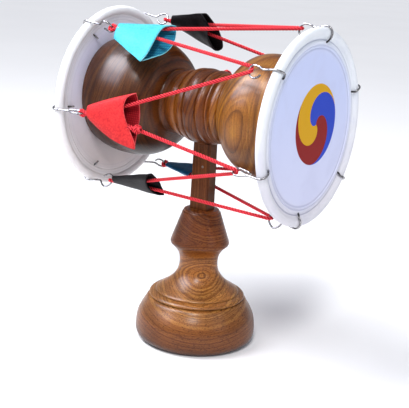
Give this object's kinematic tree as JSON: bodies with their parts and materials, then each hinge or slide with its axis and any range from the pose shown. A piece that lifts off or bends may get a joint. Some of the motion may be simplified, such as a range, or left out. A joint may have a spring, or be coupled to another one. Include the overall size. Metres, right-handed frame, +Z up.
{
  "type": "decorative drum",
  "caption": "Hourglass-shaped tabletop drum with white heads laced together by a red cord through wire hooks and coloured leather sleeves, on a turned wooden stand.",
  "frame": {"origin": "centre of the stand's flat foot, on the floor", "axes": "+Z up; +X along the drum's axis towards the head with the painted swirl; the view from the front looks along +Y"},
  "size_m": [0.1666, 0.1302, 0.2262],
  "materials": {
    "body_wood": "satin lacquer",
    "base_wood": "satin lacquer",
    "post_wood": "satin lacquer",
    "left_skin": "smooth, slightly glossy",
    "right_skin": "smooth, slightly glossy, with a painted swirl",
    "hook_steel": "bright plating",
    "cord_fabric": "twisted cord",
    "leather_red_back": "smooth, a little glossy",
    "leather_black_top": "smooth, a little glossy",
    "leather_turquoise": "smooth, a little glossy",
    "leather_red_front": "smooth, a little glossy",
    "leather_black_bottom": "smooth, a little glossy",
    "leather_blue_bottom": "smooth, a little glossy"
  },
  "bodies": {
    "root": {"stand_base": "base_wood", "stand_post": "post_wood", "drum_body": "body_wood", "left_head": "left_skin", "right_head": "right_skin", "hook_left_1": "hook_steel", "hook_left_2": "hook_steel", "hook_left_3": "hook_steel", "hook_left_4": "hook_steel", "hook_left_5": "hook_steel", "hook_left_6": "hook_steel", "hook_right_1": "hook_steel", "hook_right_2": "hook_steel", "hook_right_3": "hook_steel", "hook_right_4": "hook_steel", "hook_right_5": "hook_steel", "hook_right_6": "hook_steel", "lacing_cord": "cord_fabric", "sleeve_red_back": "leather_red_back", "sleeve_black_top": "leather_black_top", "sleeve_turquoise": "leather_turquoise", "sleeve_red_front": "leather_red_front", "sleeve_black_bottom": "leather_black_bottom", "sleeve_blue_bottom": "leather_blue_bottom"}
  },
  "joints": []
}
